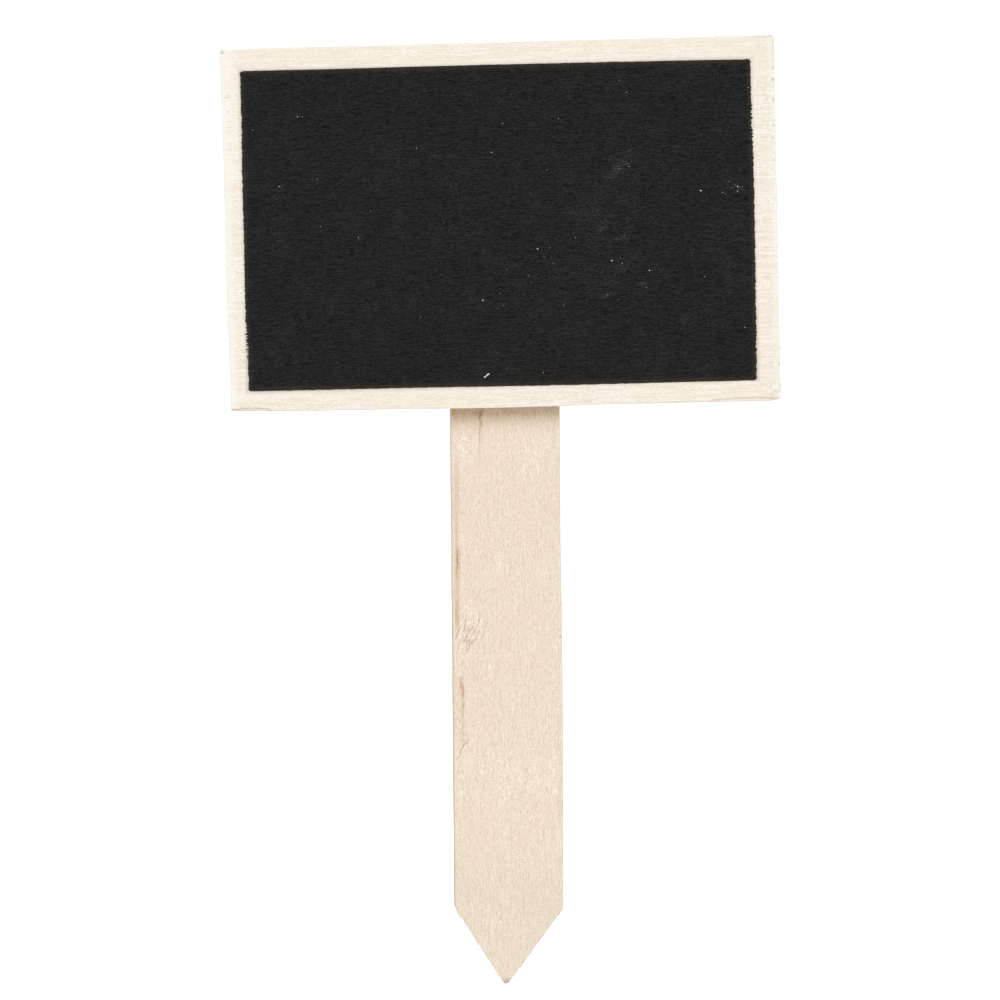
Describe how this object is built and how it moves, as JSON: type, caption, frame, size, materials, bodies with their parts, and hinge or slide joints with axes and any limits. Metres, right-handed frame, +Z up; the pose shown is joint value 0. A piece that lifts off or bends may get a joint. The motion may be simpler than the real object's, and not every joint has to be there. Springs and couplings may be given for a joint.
{
  "type": "plant label stake",
  "caption": "Small plywood board with a black chalk writing panel, glued to the front of a flat pointed wooden stake for pushing into potting soil.",
  "frame": {"origin": "on the stake's axis, at mid-thickness of the stake, level with the end of its nose", "axes": "+Z up along the stake, the writing face looks towards -Y, +X to the right as seen from the front"},
  "size_m": [0.1013, 0.0053, 0.1717],
  "materials": {
    "stake_wood": "raw rotary-cut birch, fine upright grain, unfinished",
    "veneer": "raw pale birch veneer, lightly sanded, fine grain across the board",
    "core_veneer": "raw birch veneer, grain upright, sawn edge",
    "ply_glue": "thin brown cured resin line",
    "wood_glue": "cured cream wood glue",
    "chalk_paint": "flat black chalkboard paint, wood grain showing through, a little chalk dust"
  },
  "bodies": {
    "root": {"stake": "stake_wood", "stake_glue": "wood_glue", "back_veneer": "veneer", "rear_ply_glue": "ply_glue", "core_veneer": "core_veneer", "front_ply_glue": "ply_glue", "face_veneer": "veneer", "chalk_coat": "chalk_paint"}
  },
  "joints": []
}
